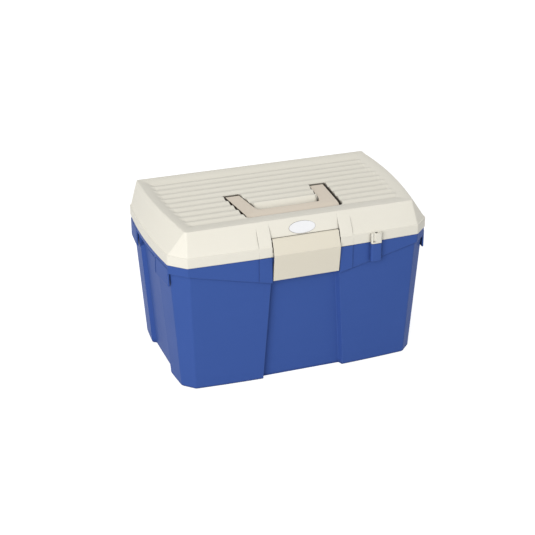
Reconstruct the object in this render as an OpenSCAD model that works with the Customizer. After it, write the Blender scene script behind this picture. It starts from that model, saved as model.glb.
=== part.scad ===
// Horse grooming box: a moulded tub with a hinged lid, a folding carrying handle,
// a front clasp and a lift-out tray.
// X runs to the right, Y to the back and Z up. The origin lies under the middle, on the floor.

/* [Tub] */
// Width of the foot, between the side faces at their corner bends
foot_w = 357; // [340:1:366]
// Depth of the foot, between the front and rear faces at their corner bends
foot_d = 218; // [206:1:224]
// Width of the tub at the rim, at the corner bends
top_w = 384.6; // [382:0.2:386]
// Depth of the tub at the rim, at the corner bends
top_d = 234.6; // [233:0.2:236]
// Height of the tub, floor to rim
tub_h = 195; // [185:1:215]
// Corner cut along each side at the foot
foot_corner = 16.5; // [12:0.5:20]
// Corner cut along each side at the rim
rim_corner = 22; // [18:0.5:26]
// Outward bow of the front and rear at the foot
foot_front_bow = 6.6; // [3:0.2:8]
// Outward bow of the front and rear at the rim
rim_front_bow = 4; // [3.4:0.2:4.6]
// Outward bow of the ends at the foot
foot_side_bow = 4.8; // [2:0.2:7]
// Outward bow of the ends at the rim
rim_side_bow = 5.6; // [4:0.2:7]
// Thickness of the tub's walls
tub_wall = 2.6; // [2.2:0.1:3]
// Thickness of the tub's floor
tub_floor = 3.2; // [2:0.2:5]
// Rounding of the upright corners
corner_round = 1.8; // [0.8:0.2:2.4]
// Rounding of the foot's edge
foot_round = 1.6; // [0.6:0.2:3]

/* [Recessed panels] */
// Width of the front and rear recess at the foot
front_recess_foot_w = 124.6; // [112:0.2:136]
// Width of the front and rear recess at the rim
front_recess_top_w = 98; // [92:1:102]
// Depth of the front and rear recess
front_recess_d = 9; // [7:0.5:10]
// Width of the end recess at the foot
side_recess_foot_w = 102; // [92:1:112]
// Width of the end recess at the rim
side_recess_top_w = 92; // [84:1:98]
// Depth of the end recess
side_recess_d = 6; // [4:0.5:7]
// Sideways lean of a recess's step
recess_lean = 3; // [2:0.5:4]

/* [Collar] */
// Height of the rim flange that closes the recesses
flange_h = 7; // [6:0.5:9]
// How far the collar stands in from the lid's rim
collar_inset = 1.1; // [0.6:0.1:1.4]
// Height of the collar at the corners
collar_corner_h = 13; // [11:0.5:16]
// Height of the collar beside the clasp
collar_clasp_h = 40; // [34:1:44]
// Height of the tongue that stands up inside the lid
tongue_h = 8.5; // [5:0.5:11]
// Width of the ledge inside the mouth, away from the recesses
ledge_w = 1.5; // [1.2:0.1:2]
// Thickness of the ledge that closes the recesses and carries the tray
ledge_t = 2.6; // [2.2:0.1:3]
// Thickness of the tongue
tongue_wall = 2.6; // [2.2:0.1:3]

/* [Hand grips] */
// Width of the finger hollow at each end
grip_w = 104; // [90:1:110]
// Height of the finger hollow
grip_h = 22; // [18:1:26]
// Depth of the finger hollow behind the end recess
grip_d = 6; // [4:0.5:7]
// Drop of the flaps beside the finger hollow, below the rim
flap_h = 32; // [28:1:36]
// Length of each flap
flap_l = 45; // [38:1:46]
// Thickness of each flap
flap_wall = 2.4; // [2:0.1:2.8]
// Thickness of the ribs beside the front flap
grip_rib_w = 2.5; // [1.6:0.1:3]
// Spacing of the ribs beside the front flap
grip_rib_pitch = 8; // [6:0.5:9]
// Height of the ribs beside the front flap
grip_rib_h = 30; // [28:1:34]

/* [Lid] */
// Width of the lid's rim at the corner bends
lid_w = 390; // [389:0.5:392]
// Depth of the lid's rim at the corner bends
lid_d = 240.2; // [239.6:0.2:241.4]
// Height of the lid's rim band
band_h = 14; // [12:0.5:16]
// Thickness of the rim band
band_wall = 3.2; // [2.8:0.1:3.4]
// Step in from the band to the slopes
band_step = 1.6; // [1:0.1:2]
// Height of the lid at its front corners
lid_front_h = 47; // [44:0.5:50]
// Height of the lid at its rear corners
lid_rear_h = 49; // [46:0.5:52]
// Rise of the end edges between the corners
lid_crown = 1.6; // [0.6:0.2:2.4]
// Width of the top at the front corners
lid_top_front_w = 341; // [332:1:350]
// Width of the top at the rear corners
lid_top_rear_w = 364; // [354:1:370]
// Depth of the top
lid_top_d = 209.5; // [204:0.5:214]
// Outward bow of the top's ends
lid_top_bow = 7; // [4:0.5:9]
// Thickness of the lid's slopes
lid_wall = 2.6; // [2.2:0.1:3]
// Thickness of the lid's top under the ribs
lid_top_wall = 3.4; // [2.6:0.2:4]
// Depth of the dish in the top
dish_d = 3.4; // [2.6:0.2:4.4]
// Border between the top's front edge and the ribs
dish_front = 25.5; // [22:0.5:28]
// Border between the top's rear edge and the ribs
dish_rear = 20; // [16:0.5:24]
// Border between the top's ends and the ribs
dish_side = 22; // [18:1:26]
// Number of ribs
rib_count = 9; // [7:1:11]
// Height of the ribs
rib_h = 2.4; // [1.2:0.1:2.8]

/* [Front clasp] */
// Width of the clasp
clasp_w = 99; // [95:0.5:102]
// Thickness of the clasp's plate
clasp_wall = 2.4; // [2:0.1:2.6]
// Radius of the clasp's knuckle
clasp_knuckle_r = 3.2; // [3:0.1:3.4]
// Radius of the clasp's rod
clasp_rod_r = 1.2; // [1:0.1:1.5]
// Height of the rod above the lid's rim
clasp_pivot_h = 21.4; // [20.5:0.1:22]
// Height of the clasp's crease above the lid's rim
clasp_crease_h = 2.4; // [1.5:0.1:3]
// Step in of the clasp's upper section at the crease
clasp_step = 0.5; // [0.2:0.1:0.8]
// How far the crease stands out from the lid's rim
clasp_proud = 4.5; // [4.2:0.1:5]
// Drop of the clasp below the lid's rim
clasp_drop = 37; // [33:0.5:39]
// Lean of the lower section from crease to tip
clasp_lean = 5.5; // [4:0.5:6]
// Depth of the bead inside the clasp's tip
clasp_bead = 0.8; // [0.5:0.1:1.2]
// Width of the catch on the tub
catch_w = 70; // [50:1:84]
// Height of the catch
catch_h = 9; // [7:0.5:12]
// Width of the raised strips beside the clasp
strip_w = 19; // [15:0.5:22]
// Bulge of the lid's strips
strip_bulge = 2.2; // [1:0.1:2.4]
// Depth of the channel between the lid's strips, at the clasp's pivot
channel_d = 2; // [1:0.1:2.2]
// How far the tub's strips stand out from the collar
strip_proud = 1.2; // [0.8:0.1:1.6]

/* [Carrying handle] */
// Width across the arms at the pivots
handle_rear_w = 152.6; // [146:0.2:158]
// Width across the arms at the grip
handle_front_w = 139; // [132:1:144]
// Width of each arm
arm_w = 21; // [18:0.5:24]
// Length of the handle from the rear of the arms to the front of the grip
handle_l = 87.5; // [82:0.5:90]
// Depth of the grip, front to back
grip_bar_d = 23; // [20:0.5:25]
// Thickness of the handle
handle_t = 12; // [10:0.5:13]
// Fall of the grip's rounded top from the middle to its front edge
grip_fall = 3.6; // [2:0.2:5]
// Rounding of the arms' ends
arm_end_round = 3; // [1:0.5:5]
// Radius of the pivot pins
handle_pin_r = 2.2; // [1.8:0.1:2.6]
// Depth of the handle's top below the lid's border
handle_sink = 3.4; // [2.6:0.2:4.4]
// Wall of the well that holds the handle
well_wall = 2.6; // [2:0.1:3]
// Length of the finger gap behind the grip
finger_gap = 20; // [17:0.5:22]

/* [Hinges] */
// Distance of each hinge from the middle
hinge_x = 115; // [100:1:125]
// Radius of the hinge knuckles
hinge_r = 3.3; // [3.1:0.1:3.5]
// Radius of the hinge rods
hinge_rod_r = 1.5; // [1.2:0.1:1.7]
// Length of the lid's knuckle
hinge_mid_l = 18; // [14:1:22]
// Length of each tub knuckle
hinge_end_l = 12; // [9:1:15]
// Drop of the hinge axis below the rim
hinge_drop = 6.5; // [6:0.1:7]

/* [Padlock lug] */
// Place of the lug along the front
lug_x = 105; // [96:1:115]
// Width of the lug
lug_w = 16; // [15:0.5:19]
// Height of the lug on the lid
lug_h = 14; // [12:0.5:16]
// How far the lug stands out from the rim
lug_proud = 5.8; // [5.4:0.1:6]
// Drop of the lug's lip below the lid's rim
lug_lip = 1.4; // [1:0.1:1.8]
// Radius of the groove down the lug's front
lug_groove_r = 2.5; // [2:0.1:3]
// Depth of the groove down the lug's front
lug_groove_d = 1.6; // [1:0.1:1.8]
// Distance of the groove to the left of the lug's middle
lug_groove_x = 3.8; // [3.4:0.1:4.2]
// Radius of the padlock hole
lug_hole_r = 1.9; // [1.7:0.1:2]
// Distance of the padlock hole's middle behind the lug's front
lug_hole_in = 3.8; // [3.6:0.1:4]

/* [Tray] */
// Height of the tray
tray_h = 52; // [40:1:60]
// Thickness of the tray's walls
tray_wall = 2; // [1.6:0.1:2.4]
// Thickness of the tray's rim
tray_rim_t = 2.4; // [2:0.1:3]
// How far the tray's rim stands out at the ends
tray_lip = 4; // [3:0.5:4.2]
// Lean of the tray's walls, from rim to floor
tray_draft = 4; // [3:0.5:5]
// Depth of the front compartment
tray_front_d = 88; // [70:1:100]
// Number of rear compartments
tray_cells = 3; // [2:1:4]
// Height of the tray's middle grip above the tray's rim
tray_grip_rise = 8; // [5:0.5:9]
// Width of the hand hole in the tray's grip
tray_hole_w = 92; // [80:1:110]
// Height of the hand hole in the tray's grip
tray_hole_h = 22; // [18:1:26]

/* [Badge] */
// Width of the oval badge
badge_w = 39; // [32:1:44]
// Height of the oval badge
badge_h = 17; // [13:0.5:19]
// Thickness of the badge
badge_t = 0.9; // [0.7:0.1:1.2]
// Depth of the badge's seat
badge_seat = 0.5; // [0.4:0.1:0.6]
// Place of the badge to the right of the clasp's middle
badge_x = -2.5; // [-5:0.5:5]
// Height of the badge above the middle of the slope
badge_rise = 2.6; // [2:0.1:3.4]

/* [Fits] */
// Gap between the lid's rim and the tub
rim_gap = 0.6; // [0.4:0.1:1]
// Gap between the tongue and the lid's band
tongue_gap = 0.9; // [0.6:0.1:1.1]
// Gap round the handle in its well
handle_gap = 1.2; // [0.8:0.1:1.4]
// Gap between the arms' outer sides and the well
handle_side_gap = 4.4; // [3:0.1:5]
// Gap round the clasp
clasp_gap = 0.5; // [0.4:0.1:0.6]
// Gap between the clasp's ends and the strips beside it
clasp_side_gap = 1.5; // [1:0.1:2]
// Gap between hinge knuckles, and from knuckle to collar
hinge_gap = 0.4; // [0.3:0.05:0.6]
// Gap between the tray and the tub
tray_gap = 1.2; // [0.9:0.1:1.6]
// Gap under a piece that rests on a seat
seat_gap = 0.3; // [0.2:0.05:0.4]
// Radial clearance of the pins in their bores
pin_gap = 0.05; // [0.03:0.01:0.08]

/* [Hidden] */

blue = "#3b5aa0";
ivory = "#e6e2d6";
cream = "#dfdaca";
steel = "#b8babd";
white = "#f4f5f7";

round_fn = 48;
far = 300;
// Segments along half a bowed side, round a softened corner and along an arc
bow_steps = 4;
corner_steps = 3;
arc_steps = 10;
// Bends under this angle aren't corners, and a softened corner takes at most this share of a side
bend_deg = 18;
corner_share = 0.45;
// Overlap of shapes that are joined
lap = 1;

// Heights of the main levels
lid_z = tub_h + rim_gap;
band_z = lid_z + band_h;
top_front_z = lid_z + lid_front_h;
top_rear_z = lid_z + lid_rear_h;
dish_z = top_front_z - dish_d;
roof_z = dish_z - lid_top_wall;
ledge_z = tub_h - flange_h;
seat_z = ledge_z + ledge_t;
tongue_z = tub_h + tongue_h;

// Half sizes of the nested rims
lid_hw = lid_w / 2;
lid_hd = lid_d / 2;
collar_hw = lid_hw - collar_inset;
collar_hd = lid_hd - collar_inset;
tongue_hw = lid_hw - band_wall - tongue_gap;
tongue_hd = lid_hd - band_wall - tongue_gap;
mouth_hw = tongue_hw - tongue_wall;
mouth_hd = tongue_hd - tongue_wall;

// How much a 45 degree corner cut shrinks when its faces move in by one
corner_shrink = 2 - sqrt(2);

// The lid's front slope, at the middle
slope_foot = [-(lid_hd - band_step + rim_front_bow), band_z + band_step / 2];
slope_head = [-lid_top_d / 2, top_front_z];
slope_run = slope_head[0] - slope_foot[0];
slope_rise = slope_head[1] - slope_foot[1];
slope_angle = atan2(slope_rise, slope_run);
function slope_y(z) = slope_foot[0] + slope_run * (z - slope_foot[1]) / slope_rise;

// The channel between the lid's strips deepens from just under the top edge to the clasp's pivot
clasp_z = lid_z + clasp_pivot_h;
channel_z = top_front_z - lap;
channel_hw = clasp_w / 2 + clasp_side_gap;
function channel_y(z) = slope_y(z) + channel_d * (channel_z - z) / (channel_z - clasp_z);
channel_angle = atan2(channel_z - clasp_z, channel_y(channel_z) - channel_y(clasp_z));

// The clasp: its pivot lies on the channel's floor and its crease clears both rims
clasp_y = channel_y(clasp_z);
crease = [-(max(lid_hd, top_d / 2) + rim_front_bow + clasp_proud), lid_z + clasp_crease_h];
clasp_tip = [crease[0] + clasp_lean, lid_z - clasp_drop];
clasp_top = [clasp_y - clasp_knuckle_r * 0.96, clasp_z + clasp_knuckle_r * 0.28];
clasp_inner = [[clasp_top[0] + clasp_wall, clasp_z - clasp_knuckle_r * 0.5],
               crease + [clasp_wall, -clasp_wall * 0.2]];

// The handle: arms point to the front when folded
handle_front_y = -lid_top_d / 2 + dish_front + handle_gap + 1;
handle_rear_y = handle_front_y + handle_l;
handle_r = handle_t / 2;
handle_top_z = top_front_z - handle_sink;
handle_pivot = [handle_rear_y - handle_r, handle_top_z - handle_r];
grip_inner_y = handle_front_y + grip_bar_d;
well_floor_z = handle_top_z - handle_t - handle_gap;

// The rear hinge axis clears the bowed collar
hinge_z = tub_h - hinge_drop;
hinge_bow = bowed(hinge_x - hinge_mid_l / 2, lid_hw - rim_corner, rim_front_bow);
hinge_y = max(collar_hd, top_d / 2) + hinge_bow + hinge_gap + hinge_r;
hinge_end_x = hinge_mid_l / 2 + hinge_gap;
hinge_rod_l = 2 * (hinge_end_x + hinge_end_l);

// The padlock lug: the rim behind it, its front and its hole
lug_rim_y = -(lid_hd + bowed(lug_x, lid_hw - rim_corner, rim_front_bow));
lug_front_y = min(lug_rim_y, -top_d / 2) - lug_proud;
lug_hole_y = lug_front_y + lug_hole_in;

// Outlines

// Distance that a bowed side stands out at u, where half is half its length
function bowed(u, half, bow) = bow * (1 - pow(u / half, 2));

// One side as pairs of place along it and distance out
function plain_side(half, bow) =
    [for (i = [0 : 2 * bow_steps]) let (u = half * (i / bow_steps - 1)) [u, bowed(u, half, bow)]];

// Four sides set round the middle, counter-clockwise from the front left
function set_round(front, side, hw, hd) = concat(
    [for (p = front) [p[0], -(hd + p[1])]],
    [for (p = side) [hw + p[1], p[0]]],
    [for (p = front) [-p[0], hd + p[1]]],
    [for (p = side) [-(hw + p[1]), -p[0]]]);

// Each sharp corner of an outline becomes a short curve; r is one size, or one for each corner
function soften(points, r) = let (n = len(points)) [
    for (i = [0 : n - 1])
        let (p = points[i], a = points[(i + n - 1) % n], b = points[(i + 1) % n],
             da = (a - p) / norm(a - p), db = (b - p) / norm(b - p), size = is_list(r) ? r[i] : r)
        each da * db < -cos(bend_deg) ? [p] :
            let (ra = min(size, corner_share * norm(a - p)), rb = min(size, corner_share * norm(b - p)))
            [for (k = [0 : corner_steps]) let (t = k / corner_steps)
                p + da * ra * pow(1 - t, 2) + db * rb * pow(t, 2)]];

// Sizes of the tub at height z: a value at the foot and its value at the rim
function at_z(z, foot, rim) = foot + (rim - foot) * z / tub_h;
function tub_hw(z) = at_z(z, foot_w, top_w) / 2;
function tub_hd(z) = at_z(z, foot_d, top_d) / 2;
function tub_cut(z) = at_z(z, foot_corner, rim_corner);
function front_bow(z) = at_z(z, foot_front_bow, rim_front_bow);
function side_bow(z) = at_z(z, foot_side_bow, rim_side_bow);

// Outline of the tub at height z, moved in by inset
function tub_ring(z, inset) = let (
    hw = tub_hw(z) - inset,
    hd = tub_hd(z) - inset,
    cut = tub_cut(z) - inset * corner_shrink)
    at_height(soften(set_round(plain_side(hw - cut, front_bow(z)),
                               plain_side(hd - cut, side_bow(z)), hw, hd), corner_round), z);

// Plan of a recess at height z, in place along a side and distance out
function recess_plan(half, edge, depth) = soften([
    [-half - recess_lean, edge + depth], [half + recess_lean, edge + depth],
    [half - recess_lean, edge - depth], [-half + recess_lean, edge - depth]], corner_round);

function front_recess_ring(z, inset) = let (
    half = at_z(z, front_recess_foot_w, front_recess_top_w) / 2 + inset,
    edge = tub_hd(z) - inset + bowed(half, tub_hw(z) - tub_cut(z), front_bow(z)))
    [for (p = recess_plan(half, edge, front_recess_d)) [p[0], -p[1], z]];

function side_recess_ring(z, inset) = let (
    half = at_z(z, side_recess_foot_w, side_recess_top_w) / 2 + inset,
    edge = tub_hw(z) - inset + bowed(half, tub_hd(z) - tub_cut(z), side_bow(z)))
    [for (p = recess_plan(half, edge, side_recess_d)) [p[1], p[0], z]];

// Plain outline with the rim's bows and corner cuts, inset from the lid's rim
function rim_outline(hw, hd) = let (cut = rim_corner - (lid_hw - hw) * corner_shrink)
    soften(set_round(plain_side(hw - cut, rim_front_bow), plain_side(hd - cut, rim_side_bow), hw, hd),
           corner_round);

// Outline of the lid's top at depth in from its edge; its corners are sharp and its front is narrower
function top_outline(front_in, rear_in, side_in) = let (
    yf = -lid_top_d / 2 + front_in,
    yr = lid_top_d / 2 - rear_in,
    cut = 2,
    half_at = function(y) lid_top_front_w / 2 - side_in
        + (lid_top_rear_w - lid_top_front_w) / 2 * (y / lid_top_d + 0.5),
    mid = (yf + yr) / 2,
    half_d = (yr - yf) / 2 - cut,
    front = [for (i = [0 : 2 * bow_steps]) [(half_at(yf) - cut) * (i / bow_steps - 1), yf]],
    rear = [for (i = [0 : 2 * bow_steps]) [(half_at(yr) - cut) * (1 - i / bow_steps), yr]],
    right = [for (i = [0 : 2 * bow_steps]) let (u = half_d * (i / bow_steps - 1))
        [half_at(mid + u) + bowed(u, half_d, lid_top_bow), mid + u]],
    left = [for (i = [0 : 2 * bow_steps]) let (u = half_d * (1 - i / bow_steps))
        [-half_at(mid + u) - bowed(u, half_d, lid_top_bow), mid + u]])
    soften(concat(front, right, rear, left), corner_round);

// An outline at one height, or on the lid's crowned top edge
function at_height(outline, z) = [for (p = outline) [p[0], p[1], z]];
function on_top_edge(outline) = [for (p = outline) let (t = p[1] / lid_top_d + 0.5)
    [p[0], p[1], top_front_z + (top_rear_z - top_front_z) * t + lid_crown * 4 * t * (1 - t)]];

// A ring part of the way from one ring to another
function between(a, b, t) = [for (i = [0 : len(a) - 1]) a[i] + (b[i] - a[i]) * t];

// Points on an arc from p to q that stands out by sag to the left of the way from p to q
function arc_between(p, q, sag) = let (d = q - p, side = [-d[1], d[0]] / norm(d))
    [for (i = [0 : arc_steps]) let (t = i / arc_steps) p + d * t + side * sag * 4 * t * (1 - t)];

// Shapes

// Skin through a list of rings with equal counts, closed at both ends
module loft(rings) {
    n = len(rings[0]);
    last = (len(rings) - 1) * n;
    polyhedron(
        points = [for (ring = rings) each ring],
        faces = concat(
            [[for (i = [0 : n - 1]) i]],
            [for (r = [0 : len(rings) - 2], i = [0 : n - 1])
                [r * n + i, (r + 1) * n + i, (r + 1) * n + (i + 1) % n]],
            [for (r = [0 : len(rings) - 2], i = [0 : n - 1])
                [r * n + i, (r + 1) * n + (i + 1) % n, r * n + (i + 1) % n]],
            [[for (i = [0 : n - 1]) last + n - 1 - i]]));
}

// Side profile in Y and Z, drawn out along X by length about x
module along_x(profile, x, length) {
    translate([x - length / 2, 0, 0]) rotate([90, 0, 90]) linear_extrude(length) polygon(profile);
}

// Front profile in X and Z, drawn out through the whole depth
module through_y(profile) {
    translate([0, far, 0]) rotate([90, 0, 0]) linear_extrude(2 * far) polygon(profile);
}

// Round bar along X at a point in Y and Z
module bar_x(yz, r, x, length) {
    translate([x - length / 2, yz[0], yz[1]]) rotate([0, 90, 0]) cylinder(r = r, h = length, $fn = round_fn);
}

module both_ends() {
    children();
    mirror([1, 0, 0]) children();
}

// Tub

// The four recesses from below the floor to a height above
module recesses(inset, top) {
    for (m = [0, 1]) {
        mirror([0, m, 0]) loft([front_recess_ring(-lap, inset), front_recess_ring(top, inset)]);
        mirror([m, 0, 0]) loft([side_recess_ring(-lap, inset), side_recess_ring(top, inset)]);
    }
}

module tub_body() {
    top = tub_h - lap;
    difference() {
        loft([tub_ring(0, foot_round), tub_ring(foot_round, 0), tub_ring(top, 0)]);
        recesses(0, top + lap);
    }
}

// Lower hollow, which ends a little inside the mouth so that a ledge runs all round
module tub_hollow() {
    top = seat_z + lap;
    difference() {
        loft([tub_ring(tub_floor, tub_wall), tub_ring(top, tub_wall + ledge_w)]);
        recesses(tub_wall, top + lap);
    }
}

module tub_mouth() {
    translate([0, 0, seat_z]) linear_extrude(tongue_z - seat_z + lap)
        polygon(rim_outline(mouth_hw, mouth_hd));
}

// The collar's lower edge climbs from the clasp to the corners; the flange closes the recesses
module collar_band() {
    corner_x = collar_hw - rim_corner;
    half_edge = [[channel_hw, ledge_z], [channel_hw, tub_h - collar_clasp_h],
                 [corner_x, tub_h - collar_corner_h], [far, tub_h - collar_corner_h], [far, tub_h + lap]];
    other_edge = [for (i = [len(half_edge) - 1 : -1 : 0]) [-half_edge[i][0], half_edge[i][1]]];
    intersection() {
        translate([0, 0, tub_h - collar_clasp_h - lap]) linear_extrude(collar_clasp_h + lap)
            polygon(rim_outline(collar_hw, collar_hd));
        through_y(concat(half_edge, other_edge));
    }
}

module tongue() {
    translate([0, 0, ledge_z + lap]) linear_extrude(tongue_z - ledge_z - lap)
        polygon(rim_outline(tongue_hw, tongue_hd));
}

// Raised strip beside the clasp, cut along the collar's lower edge
module tub_strip() {
    bow = bowed(channel_hw + strip_w / 2, collar_hw - rim_corner, rim_front_bow);
    strip_y = max(collar_hd, top_d / 2) + bow + strip_proud;
    low = tub_h - collar_clasp_h + strip_proud / 2;
    climb = (collar_clasp_h - collar_corner_h) * strip_w / (collar_hw - rim_corner - channel_hw);
    intersection() {
        translate([0, -strip_y, 0]) cube([far, strip_y - top_d / 2 + tub_wall, tub_h]);
        through_y([[channel_hw, tub_h + lap], [channel_hw, low], [channel_hw + strip_w, low + climb],
                   [channel_hw + strip_w, tub_h + lap]]);
    }
}

// Flap that hangs beside the finger hollow, clear of the tub's wall
module grip_flap() {
    half = collar_hd - rim_corner;
    start = half - flap_l;
    outer = [for (i = [0 : bow_steps]) let (y = start + flap_l * i / bow_steps)
        [collar_hw + bowed(y, half, rim_side_bow) + collar_inset / 2, y]];
    inner = [for (i = [bow_steps : -1 : 0]) outer[i] - [flap_wall, 0]];
    translate([0, 0, tub_h - flap_h]) linear_extrude(flap_h - flange_h + lap) polygon(concat(outer, inner));
}

// Finger hollow with a sloping ledge at its foot
grip_low_z = ledge_z - grip_h;
grip_back_x = tub_hw(grip_low_z) + rim_side_bow - side_recess_d - grip_d;
grip_slope = grip_d * 0.7;

function grip_profile(wall, top) = [
    [grip_back_x - wall, top], [grip_back_x - wall, grip_low_z + grip_slope - wall],
    [grip_back_x + 2 * grip_d, grip_low_z - grip_slope - wall], [far, grip_low_z - grip_slope - wall],
    [far, top]];

module grip_hollow() {
    translate([0, grip_w / 2, 0]) rotate([90, 0, 0]) linear_extrude(grip_w)
        polygon(grip_profile(0, ledge_z));
}

// Room that the finger hollow takes from the inside of the tub, walls and all
module grip_block() {
    width = grip_w + 2 * tub_wall;
    translate([0, width / 2, 0]) rotate([90, 0, 0]) linear_extrude(width)
        polygon(grip_profile(tub_wall, far));
}

module grip_ribs() {
    first_y = -(grip_w + grip_rib_w) / 2;
    for (i = [1, 2])
        translate([grip_back_x - lap, first_y + grip_rib_pitch * i, ledge_z - grip_rib_h])
            cube([collar_hw + rim_side_bow / 2 - grip_back_x, grip_rib_w, grip_rib_h + lap]);
}

module tub_knuckles() {
    for (s = [-1, 1]) {
        x = s * (hinge_end_x + hinge_end_l / 2);
        bar_x([hinge_y, hinge_z], hinge_r, hinge_x + x, hinge_end_l);
        along_x([[hinge_y, hinge_z - hinge_r], [hinge_y, hinge_z + hinge_r],
                 [collar_hd - lap, hinge_z + hinge_r], [collar_hd - lap, hinge_z - 2 * hinge_r]],
                hinge_x + x, hinge_end_l);
    }
}

// Ledge in the front recess that the clasp's bead closes over
module catch_ledge() {
    nose_y = clasp_tip[0] + clasp_wall + clasp_bead + clasp_gap;
    z = clasp_tip[1] + 2 * catch_h / 3;
    back_y = -(foot_d / 2 + rim_front_bow - front_recess_d) + tub_wall / 2;
    along_x([[back_y, z], [nose_y, z], [nose_y, z + catch_h / 3], [back_y, z + catch_h]], 0, catch_w);
}

// Plan of the padlock lug: a block with rounded front corners
module lug_plan(back) {
    polygon(soften([[lug_x - lug_w / 2, back], [lug_x - lug_w / 2, lug_front_y],
                    [lug_x + lug_w / 2, lug_front_y], [lug_x + lug_w / 2, back]], lug_w / 6));
}

module lug_hole(z, h) {
    translate([lug_x, lug_hole_y, z]) cylinder(r = lug_hole_r, h = h, $fn = round_fn);
}

module tub_lug() {
    low = tub_h - collar_corner_h - (collar_clasp_h - collar_corner_h)
        * (collar_hw - rim_corner - lug_x) / (collar_hw - rim_corner - channel_hw);
    translate([0, 0, low]) linear_extrude(tub_h - lug_lip - low) lug_plan(lug_rim_y + 0.9 * band_wall);
}

module tub() {
    color(blue) union() {
        difference() {
            union() {
                tub_body();
                collar_band();
                tongue();
                both_ends() {
                    tub_strip();
                    grip_flap();
                    mirror([0, 1, 0]) grip_flap();
                    tub_knuckles();
                }
                catch_ledge();
                tub_lug();
            }
            union() {
                tub_mouth();
                difference() {
                    tub_hollow();
                    both_ends() grip_block();
                }
            }
            both_ends() grip_hollow();
            both_ends() bar_x([hinge_y, hinge_z], hinge_rod_r + pin_gap, hinge_x, hinge_rod_l + 2);
            lug_hole(tub_h - collar_clasp_h, collar_clasp_h + lap);
        }
        both_ends() grip_ribs();
    }
}

// Lid

lid_foot_ring = at_height(rim_outline(lid_hw, lid_hd), lid_z);
slope_ring = at_height(rim_outline(lid_hw - band_step, lid_hd - band_step), band_z + band_step / 2);
top_ring = on_top_edge(top_outline(0, 0, 0));
dish_ring = at_height(top_outline(dish_front, dish_rear, dish_side), dish_z);

module lid_solid() {
    loft([lid_foot_ring, at_height(rim_outline(lid_hw, lid_hd), band_z), slope_ring, top_ring, dish_ring]);
}

// The hollow follows the slopes inside and stops under the top
module lid_hollow() {
    roof_t = (roof_z - slope_foot[1]) / slope_rise;
    shift = lid_wall / sin(slope_angle);
    step = band_step + shift;
    inner_band = rim_outline(lid_hw - band_wall, lid_hd - band_wall);
    inner_foot = at_height(rim_outline(lid_hw - step, lid_hd - step), slope_foot[1]);
    inner_top = at_height(top_outline(shift, shift, shift), top_front_z);
    loft([at_height(inner_band, lid_z - lap),
          at_height(inner_band, tongue_z + tongue_gap),
          inner_foot,
          between(inner_foot, inner_top, roof_t)]);
}

// How far the head of a lid strip lies inside the lid's top edge
strip_sink = 0.3;
// How far down the strip its bulge is widest: the power of the way down that shapes it
strip_skew = 1.5;

// Raised strip beside the clasp, bulging from the top edge down to the rim
module lid_strip() {
    foot_y = -(lid_hd + bowed(channel_hw + strip_w / 2, lid_hw - rim_corner, rim_front_bow));
    head = slope_head + [strip_sink, -strip_sink];
    way = [foot_y, band_z - band_h / 3] - head;
    out = [way[1], -way[0]] / norm(way);
    face = [for (i = [0 : arc_steps]) let (t = i / arc_steps)
        head + way * t + out * strip_bulge * sin(180 * pow(t, strip_skew))];
    along_x(concat(face, [[foot_y, lid_z], [foot_y + band_wall, lid_z], [foot_y + 2 * band_wall, band_z],
                          head + lid_wall * [1.5, -3]]),
            channel_hw + strip_w / 2, strip_w);
}

rib_pitch = (lid_top_d - dish_front - dish_rear) / rib_count;
// How far a rib's ends run on into the dish's border
rib_run_out = 3;

// One rib: a low arch that runs out into the dish's sloping border
module lid_rib(y) {
    reach = lid_top_front_w / 2 + (lid_top_rear_w - lid_top_front_w) / 2 * (y / lid_top_d + 0.5)
        + bowed(y, lid_top_d / 2, lid_top_bow) - dish_side * (1 - rib_h / dish_d) + rib_run_out;
    along_x(concat(arc_between([y - rib_pitch / 2, dish_z], [y + rib_pitch / 2, dish_z], rib_h),
                   [[y + rib_pitch / 2, dish_z - lap], [y - rib_pitch / 2, dish_z - lap]]), 0, 2 * reach);
}

// Plan of the folded handle, grown by a margin and, at the arms' outer sides, by a wider one
function handle_plan(margin, outer) = let (
    rear = handle_rear_w / 2,
    front = handle_front_w / 2)
    [[-rear - outer, handle_rear_y + margin], [-front - outer, handle_front_y - margin],
     [front + outer, handle_front_y - margin], [rear + outer, handle_rear_y + margin],
     [rear - arm_w - margin, handle_rear_y + margin], [front - arm_w - margin, grip_inner_y + margin],
     [-front + arm_w + margin, grip_inner_y + margin], [-rear + arm_w + margin, handle_rear_y + margin]];

// The plan's front corners are round; the arms' ends, which turn in the well, have their own rounding
module handle_well(margin, outer, end_round, low, high) {
    bend = arm_w / 3;
    corners = [end_round, bend, bend, end_round, end_round, bend, bend, end_round];
    translate([0, 0, low]) linear_extrude(high - low) polygon(soften(handle_plan(margin, outer), corners));
}

// Middle and length of a bar through one arm and both walls of its well, which ends beyond the gaps
handle_pin_x = (handle_rear_w - arm_w + handle_side_gap - handle_gap) / 2;
function handle_pin_l(beyond) = arm_w + handle_gap + handle_side_gap + 2 * beyond;

// Sloping gap behind the grip, where the fingers go in
function finger_profile(margin) = [
    [grip_inner_y - lap, top_rear_z], [grip_inner_y - lap, well_floor_z - margin],
    [grip_inner_y + finger_gap * 0.4 + margin, well_floor_z - margin],
    [grip_inner_y + finger_gap + margin, dish_z + rib_h], [grip_inner_y + finger_gap + margin, top_rear_z]];
finger_w = handle_front_w - 2 * arm_w;

module finger_block() {
    intersection() {
        along_x(finger_profile(well_wall), 0, finger_w + 2 * well_wall);
        translate([-far, -far, 0]) cube([2 * far, 2 * far, dish_z - lap]);
    }
}

// Line behind the clasp's plate, at height z
function behind_clasp_y(z) = let (top = clasp_inner[0], low = clasp_inner[1])
    low[0] + (top[0] - low[0]) * (z - low[1]) / (top[1] - low[1]) + 1.4 * clasp_gap;

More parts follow.
